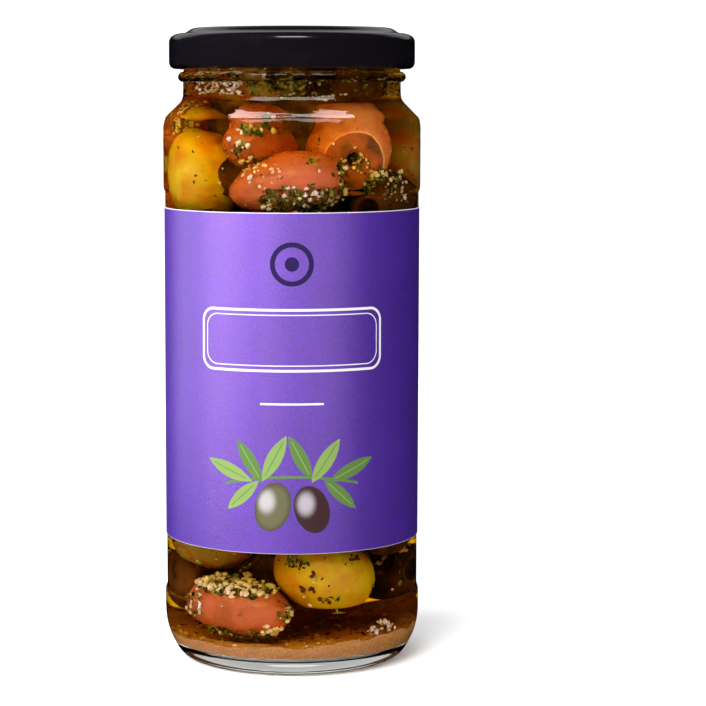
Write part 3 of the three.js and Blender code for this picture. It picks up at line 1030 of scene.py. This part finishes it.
# Patches on the olives in front: the olive's number, the middle of the patch across and up in millimetres,
# its half width and half height, how thick the bits lie, their scale, and how many of each kind cling there
PATCHES = (
    (0, 2.5, 114.4, 10.5, 3.2, 0.6, 0.9, {HERB: 420, LEAF: 190, BROWN: 150, GARLIC: 56}),
    (0, -6.5, 120.5, 4.0, 3.5, 0.1, 0.7, {HERB: 12, GARLIC: 30}),
    (0, 4.2, 123.6, 1.3, 1.1, 0.2, 1.0, {LEAF: 8, HERB: 6}),
    (0, 10.6, 119.0, 2.4, 2.6, 0.4, 0.9, {HERB: 60, LEAF: 14, BROWN: 16, GARLIC: 14}),
    (1, -21.5, 119.0, 0.8, 0.8, 0.1, 1.2, {BROWN: 2}),
    (1, -18.0, 121.5, 5.0, 6.0, 0.1, 0.8, {HERB: 6, BROWN: 3}),
    (2, -6.5, 130.6, 5.0, 1.0, 0.3, 0.9, {HERB: 60, LEAF: 30, BROWN: 16, GARLIC: 10}),
    (2, -11.0, 125.6, 2.2, 2.6, 0.3, 0.9, {HERB: 40, LEAF: 14, BROWN: 10, GARLIC: 10}),
    (2, -6.0, 122.8, 5.0, 2.0, 0.4, 0.9, {HERB: 90, LEAF: 16, BROWN: 22, GARLIC: 10}),
    (3, 20.0, 117.6, 4.5, 3.6, 0.5, 0.9, {HERB: 150, LEAF: 60, BROWN: 44, GARLIC: 24}),
    (3, 9.0, 121.0, 2.2, 3.0, 0.4, 0.9, {HERB: 44, LEAF: 14, GARLIC: 18}),
    (3, 14.5, 123.5, 5.0, 5.0, 0.1, 0.7, {HERB: 10, GARLIC: 18}),
    (3, 15.2, 122.4, 2.4, 2.0, 0.5, 0.8, {HERB: 20, LEAF: 8, BROWN: 10, GARLIC: 16}),
    (5, -12.8, 20.6, 10.5, 1.7, 0.5, 1.35, {HERB: 170, LEAF: 50, BROWN: 40, GARLIC: 130}),
    (5, -1.6, 16.4, 1.8, 3.0, 0.4, 0.9, {HERB: 60, LEAF: 22, GARLIC: 26}),
    (5, -21.4, 15.6, 2.0, 3.2, 0.4, 0.9, {HERB: 40, LEAF: 14, GARLIC: 20}),
    (5, -11.5, 9.8, 7.5, 1.2, 0.4, 0.9, {HERB: 190, LEAF: 60, BROWN: 30, GARLIC: 6}),
    (5, -5.0, 11.0, 2.6, 1.2, 0.2, 1.1, {GARLIC: 16}),
    (6, 5.2, 25.2, 0.6, 0.6, 0.1, 1.7, {BROWN: 2}),
    (6, 7.4, 24.4, 0.5, 0.5, 0.1, 1.4, {BROWN: 1}),
    (6, 4.6, 21.4, 2.2, 0.7, 0.1, 1.5, {BROWN: 4}),
    (6, 13.2, 20.4, 0.9, 0.6, 0.1, 1.6, {BROWN: 2}),
    (6, 13.4, 27.4, 1.2, 1.2, 0.2, 1.3, {BROWN: 4, HERB: 6}),
    (6, 1.4, 27.6, 2.8, 1.6, 0.3, 0.8, {HERB: 50, LEAF: 14, BROWN: 10}),
    (6, 8.6, 18.6, 2.4, 1.0, 0.2, 0.8, {HERB: 26, BROWN: 8}),
)
DUST = {HERB: 18, LEAF: 5, BROWN: 10, GARLIC: 6}
TIER_CLUMP = {HERB: 44, LEAF: 14, BROWN: 8, GARLIC: 26}
BED_BITS = {HERB: 160, LEAF: 40, BROWN: 200, GARLIC: 120}
BED_REACH = 26.0
LOOSE_BITS = {HERB: 60, LEAF: 14, BROWN: 34, GARLIC: 12}
# The layer that floats under the lid: how many of each kind, then the ranges of the azimuth in degrees
# and of the reach and the height in millimetres
NECK_RINGS = (
    ({HERB: 620, LEAF: 300, BROWN: 640, GARLIC: 120}, (0, 360), (17.0, 23.0), (137.6, 148.0)),
    ({HERB: 20, LEAF: 16, BROWN: 30, GARLIC: 70}, (-68, -32), (20.5, 23.2), (138.8, 142.4)),
    ({HERB: 30, LEAF: 60, BROWN: 10}, (-28, 8), (21.0, 23.2), (138.4, 142.4)),
)
# The specks that drift close to the wall, above and below the label, and those that settled against it
# at the front right: the same, but with the distance from the wall for the reach
WALL_RINGS = (
    (LOOSE_BITS, (0, 360), (4.0, 0.6), (113.0, 129.0)),
    (LOOSE_BITS, (0, 360), (4.0, 0.6), (14.0, 30.0)),
    ({HERB: 90, LEAF: 60, BROWN: 30, GARLIC: 60}, (50, 70), (5.0, 1.0), (112.5, 121.0)),
    ({HERB: 8, GARLIC: 26}, (38, 60), (2.2, 0.9), (9.0, 11.8)),
)


class JAR_OT_herbs(bpy.types.Operator):
    """Scatters basil flakes and garlic granules on the olives, on the bed and in the neck"""

    bl_idname = "olive_jar.herbs"
    bl_label = "Herbs and garlic"

    def execute(self, context):
        sizes = context.scene.jar_sizes
        look = context.scene.jar_colours
        bore = sizes.bore_radius / MM
        draw = random.Random(sizes.seed)
        spots = [*self.patch_spots(draw), *self.tier_spots(draw), *self.bed_spots(draw, bore)]
        spots += self.ring_spots(draw, bore)
        colours = {
            HERB: (look.herb, (0.02, 0.016, 0.006)),
            LEAF: (look.herb_light, look.herb),
            BROWN: (look.brown_flake, (0.06, 0.022, 0.009)),
            GARLIC: (look.garlic, (0.62, 0.42, 0.42)),
        }
        for kind, (main, deep) in colours.items():
            store = ([], [])
            for spot_kind, place, normal, scale in spots:
                if spot_kind == kind == GARLIC:
                    self.add_granule(store, draw, place, normal, scale)
                elif spot_kind == kind:
                    self.add_flake(store, draw, place, normal, [size * scale for size in SIZES[kind]])
            finish = Finish(kind)
            grain = finish.grain(0.9, detail=2.0)
            material = finish.done(
                Base_Color=finish.mix(grain.ramp(0.35, 0.65), main, deep),
                Roughness=0.4,
                Specular_IOR_Level=0.0,
                Normal=finish.bump(grain, 0.08),
            )
            make_piece(kind, *store, [material], "settled_herbs", smooth=False)
        return {"FINISHED"}

    @staticmethod
    def skin_faces(number, wanted):
        """Corners of an olive's faces, as places with normals, where middle and normal are wanted."""
        _kind, vertices, faces, normals = olive_surfaces()[number]
        chosen = []
        for face in faces:
            middle = sum((vertices[i] for i in face), Vector()) / len(face)
            normal = sum((normals[i] for i in face), Vector()).normalized()
            if wanted(middle, normal):
                chosen.append([(vertices[i], normals[i]) for i in face])
        if not chosen:
            raise RuntimeError(f"Olive {number} has no skin where the herbs should cling")
        return chosen

    @staticmethod
    def clump(draw, near, counts, thick, scale):
        """Spreads bits over the faces of a patch, a little off the skin and off each other."""
        for kind, count in counts.items():
            for _ in range(count):
                corners = draw.choice(near)
                shares = [draw.random() for _ in corners]
                total = sum(shares)
                place = sum((c[0] * (s / total) for c, s in zip(corners, shares)), Vector())
                normal = sum((c[1] * s for c, s in zip(corners, shares)), Vector()).normalized()
                drift = Vector([draw.gauss(0, 0.3) for _ in range(3)])
                drift += normal * (abs(draw.gauss(0, thick)) + 0.05 - drift.dot(normal))
                yield kind, place + drift * MM, normal, scale

    def patch_spots(self, draw):
        """Places on the olives in front, within the patches, and the dust all over them."""
        for number, across, up, half_width, half_height, thick, scale, counts in PATCHES:

            def within(middle, normal):
                off_x = (middle.x / MM - across) / half_width
                off_z = (middle.z / MM - up) / half_height
                return normal.y < 0 and off_x * off_x + off_z * off_z < 1

            yield from self.clump(draw, self.skin_faces(number, within), counts, thick, scale)
        for number in range(len(FRONT_OLIVES)):
            near = self.skin_faces(number, lambda middle, normal: normal.y < 0.3)
            yield from self.clump(draw, near, DUST, 0.05, 0.6)

    def tier_spots(self, draw):
        """Places in one clump on top of each olive at the sides and the back."""
        for number in range(len(FRONT_OLIVES), len(olive_surfaces())):
            upper = self.skin_faces(number, lambda middle, normal: normal.z > 0.1)
            heart = draw.choice(upper)[0][0]
            near = [corners for corners in upper if (corners[0][0] - heart).length < 5 * MM]
            yield from self.clump(draw, near, TIER_CLUMP, 0.4, 0.9)

    @staticmethod
    def bed_spots(draw, bore):
        """Places on the settled bed."""
        for kind, count in BED_BITS.items():
            for _ in range(count):
                turn = draw.uniform(0, math.tau)
                reach = BED_REACH * math.sqrt(draw.random())
                x = reach * math.sin(turn)
                y = -reach * math.cos(turn)
                height = bed_height(x, y, bore)
                fit = min(1.0, (inner_radius(bore, height) - 1.0) / max(reach, 1e-6))
                yield kind, Vector((x * fit, y * fit, height)) * MM, Vector((0, 0, 1)), 0.8

    @staticmethod
    def floating(draw, counts, turns, reaches, heights):
        """Places in a ring of the brine, turned at random."""
        for kind, count in counts.items():
            for _ in range(count):
                turn = math.radians(draw.uniform(*turns))
                reach = draw.uniform(*reaches)
                height = draw.uniform(*heights)
                place = Vector((reach * math.sin(turn), -reach * math.cos(turn), height))
                normal = Vector([draw.gauss(0, 1) for _ in range(3)]).normalized()
                yield kind, place * MM, normal, 0.9

    def ring_spots(self, draw, bore):
        """Places of the bits that float under the lid and close to the wall."""
        for ring in NECK_RINGS:
            yield from self.floating(draw, *ring)
        for counts, turns, (far, near), heights in WALL_RINGS:
            yield from self.floating(draw, counts, turns, (bore - far, bore - near), heights)

    @staticmethod
    def across(draw, normal):
        """Two random directions across a normal."""
        first = normal.orthogonal().normalized()
        second = normal.cross(first)
        turn = draw.uniform(0, math.tau)
        return (
            first * math.cos(turn) + second * math.sin(turn),
            second * math.cos(turn) - first * math.sin(turn),
        )

    def add_flake(self, store, draw, place, normal, sizes):
        """Adds a torn scrap of leaf: a thin curled lens with an uneven rim."""
        vertices, faces = store
        tilt = Vector([draw.gauss(0, 0.35) for _ in range(3)])
        normal = (normal + tilt).normalized()
        first, second = self.across(draw, normal)
        small, large = sizes
        size = (small + (large - small) * draw.random() ** 2) * MM
        narrow = draw.uniform(0.4, 0.9)
        curl = draw.uniform(-0.35, 0.35) * size
        base = len(vertices)
        for i in range(FLAKE_SIDES):
            turn = math.tau * i / FLAKE_SIDES
            reach = size * draw.uniform(0.7, 1.15)
            bend = curl * math.cos(turn) ** 2
            rim = first * reach * math.cos(turn) + second * reach * narrow * math.sin(turn)
            vertices.append(place + rim + normal * bend)
        thick = FLAKE_THICK * MM
        vertices.append(place + normal * thick)
        vertices.append(place - normal * thick)
        top = base + FLAKE_SIDES
        for i in range(FLAKE_SIDES):
            j = (i + 1) % FLAKE_SIDES
            faces.append((base + i, base + j, top))
            faces.append((base + j, base + i, top + 1))

    def add_granule(self, store, draw, place, normal, scale):
        """Adds an angular garlic granule."""
        vertices, faces = store
        small, large = SIZES[GARLIC]
        size = (small + (large - small) * draw.random() ** 1.3) * scale * MM
        first, second = self.across(draw, normal)
        base = len(vertices)
        for point in GRANULE_POINTS:
            uneven = draw.uniform(0.72, 1.2) * size
            x, y, z = (along * share for along, share in zip(point, GRANULE_SHAPE))
            vertices.append(place + (first * x + second * y + normal * z) * uneven)
        faces.extend(tuple(base + corner for corner in face) for face in GRANULE_FACES)


def granule_form():
    """Points and faces of a twenty-sided grain."""
    work = bmesh.new()
    bmesh.ops.create_icosphere(work, subdivisions=1, radius=1.0)
    work.verts.ensure_lookup_table()
    points = [tuple(v.co) for v in work.verts]
    faces = [tuple(v.index for v in f.verts) for f in work.faces]
    work.free()
    return points, faces


GRANULE_POINTS, GRANULE_FACES = granule_form()

FLOOR_HALF = 60.0
# The stage's floor lies just under the foot, so the two faces don't fall together
FLOOR_DROP = -0.0002
# The camera's place in metres, how far it looks down, and its lens
EYE = Vector((0.0, -0.5725, 0.1395))
PITCH = math.radians(6.07)
LENS = 117.95
SENSOR = 36.0
SHIFT = (0.0865, -0.02)
# Softboxes: name, place and aim in metres, width, height and power, and the piece that alone mirrors them
KEY_BOX = ("key_box", (-0.5, -0.5, 0.85), (0, 0, 0.08), 1.1, 0.8, 34.0)
MIRRORED_BOXES = (
    ("neck_box", (0.0, -0.2, 0.32), (0, -0.02, 0.13), 0.42, 0.12, 1.9, "jar_glass"),
    ("shoulder_box", (0.0, 0.03, 0.6), (0, 0.0, 0.13), 0.5, 0.16, 3.3, "jar_glass"),
    ("satin_box", (-0.15, -0.16, 0.12), (0, 0, 0.12), 0.3, 0.23, 1.3, "label_wrap"),
    ("satin_top_box", (-0.15, -0.16, 0.18), (0, 0, 0.1), 0.3, 0.12, 1.4, "label_wrap"),
    ("satin_low_box", (-0.15, -0.16, 0.03), (0, 0, 0.03), 0.3, 0.05, 0.7, "label_wrap"),
    ("satin_left_box", (-0.21, -0.02, 0.12), (0, 0, 0.12), 0.3, 0.23, 0.75, "label_wrap"),
    ("satin_front_box", (0.08, -0.2, 0.12), (0, 0, 0.12), 0.2, 0.23, 0.6, "label_wrap"),
    ("lid_box", (0.0, -0.3, 0.42), (0, 0, 0.15), 0.16, 0.08, 0.6, "lid_cap"),
    ("lid_back_box", (0.0, 0.55, 0.5), (0, 0, 0.15), 1.4, 0.4, 1.0, "lid_cap"),
)


class JAR_OT_stage(bpy.types.Operator):
    """Makes the pale floor, the soft studio light and the camera"""

    bl_idname = "olive_jar.stage"
    bl_label = "Stage"

    def execute(self, context):
        scene = context.scene
        look = scene.jar_colours
        mesh = bpy.data.meshes.new("floor")
        signs = ((-1, -1), (1, -1), (1, 1), (-1, 1))
        corners = [(x * FLOOR_HALF, y * FLOOR_HALF, FLOOR_DROP) for x, y in signs]
        mesh.from_pydata(corners, [], [(0, 1, 2, 3)])
        finish = Finish("pale_floor")
        mottle = finish.grain(40, detail=2.0)
        away = finish.node("ShaderNodeVectorMath", {"operation": "LENGTH"}, {0: finish.place()}, output=1)
        mesh.materials.append(
            finish.done(
                Base_Color=finish.mix(mottle * 0.03, look.floor, (0.8, 0.8, 0.8)),
                Roughness=0.8,
                Emission_Color=finish.mix(away.ramp(0.25, 1.6), (0.0, 0.0, 0.0), (0.35, 0.35, 0.35)),
                Emission_Strength=1.0,
            )
        )
        floor = bpy.data.objects.new("floor", mesh)
        scene.collection.objects.link(floor)
        floor.visible_glossy = False
        self.light(scene)
        self.camera(scene)
        scene.view_settings.view_transform = "Standard"
        return {"FINISHED"}

    def light(self, scene):
        """A soft dome that is bright above and to the front left, with softboxes."""
        world = bpy.data.worlds.new("studio")
        world.use_nodes = True
        scene.world = world
        nodes = Nodes(world.node_tree)
        ray = nodes.node("ShaderNodeTexCoord", output="Generated")
        _x, _y, height = nodes.parts(ray)
        glow = 0.48 + height.ramp(0.1, 0.85) * 0.75 + abs(height).ramp(0.07, 0.03) * 0.75
        back = nodes.node("ShaderNodeBackground", inputs={"Color": (1, 1, 1, 1), "Strength": glow})
        nodes.node("ShaderNodeOutputWorld", inputs={"Surface": back})
        world.cycles_visibility.glossy = False
        key = self.softbox(scene, *KEY_BOX)
        key.visible_glossy = False
        for *box, piece in MIRRORED_BOXES:
            self.mirrored(self.softbox(scene, *box), piece)

    @staticmethod
    def mirrored(box, piece):
        """Lets a light show only as a reflection in one piece."""
        box.visible_diffuse = False
        box.visible_transmission = False
        lit = bpy.data.collections.new(box.name)
        lit.objects.link(bpy.data.objects[piece])
        box.light_linking.receiver_collection = lit

    @staticmethod
    def softbox(scene, name, place, aim, width, height, power):
        """A rectangular light that points at a place."""
        light = bpy.data.lights.new(name, "AREA")
        light.shape = "RECTANGLE"
        light.size = width
        light.size_y = height
        light.energy = power
        box = bpy.data.objects.new(name, light)
        box.location = place
        box.rotation_euler = (Vector(aim) - Vector(place)).to_track_quat("-Z", "Y").to_euler()
        box.visible_camera = False
        scene.collection.objects.link(box)
        return box

    @staticmethod
    def camera(scene):
        """The photograph's viewing angle, a little above the jar, which stands left of the middle."""
        lens = bpy.data.cameras.new("camera")
        lens.lens = LENS
        lens.sensor_width = SENSOR
        lens.sensor_fit = "HORIZONTAL"
        lens.shift_x, lens.shift_y = SHIFT
        lens.clip_end = 200.0
        camera = bpy.data.objects.new("camera", lens)
        camera.location = EYE
        camera.rotation_euler = (math.pi / 2 - PITCH, 0.0, 0.0)
        scene.collection.objects.link(camera)
        scene.camera = camera


OPERATORS = (
    JAR_OT_glass,
    JAR_OT_lid,
    JAR_OT_label,
    JAR_OT_core,
    JAR_OT_olives,
    JAR_OT_bed,
    JAR_OT_herbs,
    JAR_OT_brine,
    JAR_OT_stage,
)


class JAR_PT_panel(bpy.types.Panel):
    """Lists the steps that dress the jar"""

    bl_idname = "JAR_PT_panel"
    bl_label = "Olive Jar"
    bl_space_type = "VIEW_3D"
    bl_region_type = "UI"
    bl_category = "Olive Jar"

    def draw(self, context):
        for operator in OPERATORS:
            self.layout.operator(operator.bl_idname)


CLASSES = (JarSizes, JarColours, *OPERATORS, JAR_PT_panel)


def register():
    """Registers the classes and the scene's settings."""
    for cls in CLASSES:
        bpy.utils.register_class(cls)
    bpy.types.Scene.jar_sizes = PointerProperty(type=JarSizes)
    bpy.types.Scene.jar_colours = PointerProperty(type=JarColours)


def unregister():
    """Takes the settings and the classes away again."""
    del bpy.types.Scene.jar_sizes
    del bpy.types.Scene.jar_colours
    for cls in reversed(CLASSES):
        bpy.utils.unregister_class(cls)


def main():
    """Dresses the jar piece by piece."""
    register()
    for operator in OPERATORS:
        group, name = operator.bl_idname.split(".")
        getattr(getattr(bpy.ops, group), name)()
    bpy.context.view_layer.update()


if __name__ == "__main__":
    main()
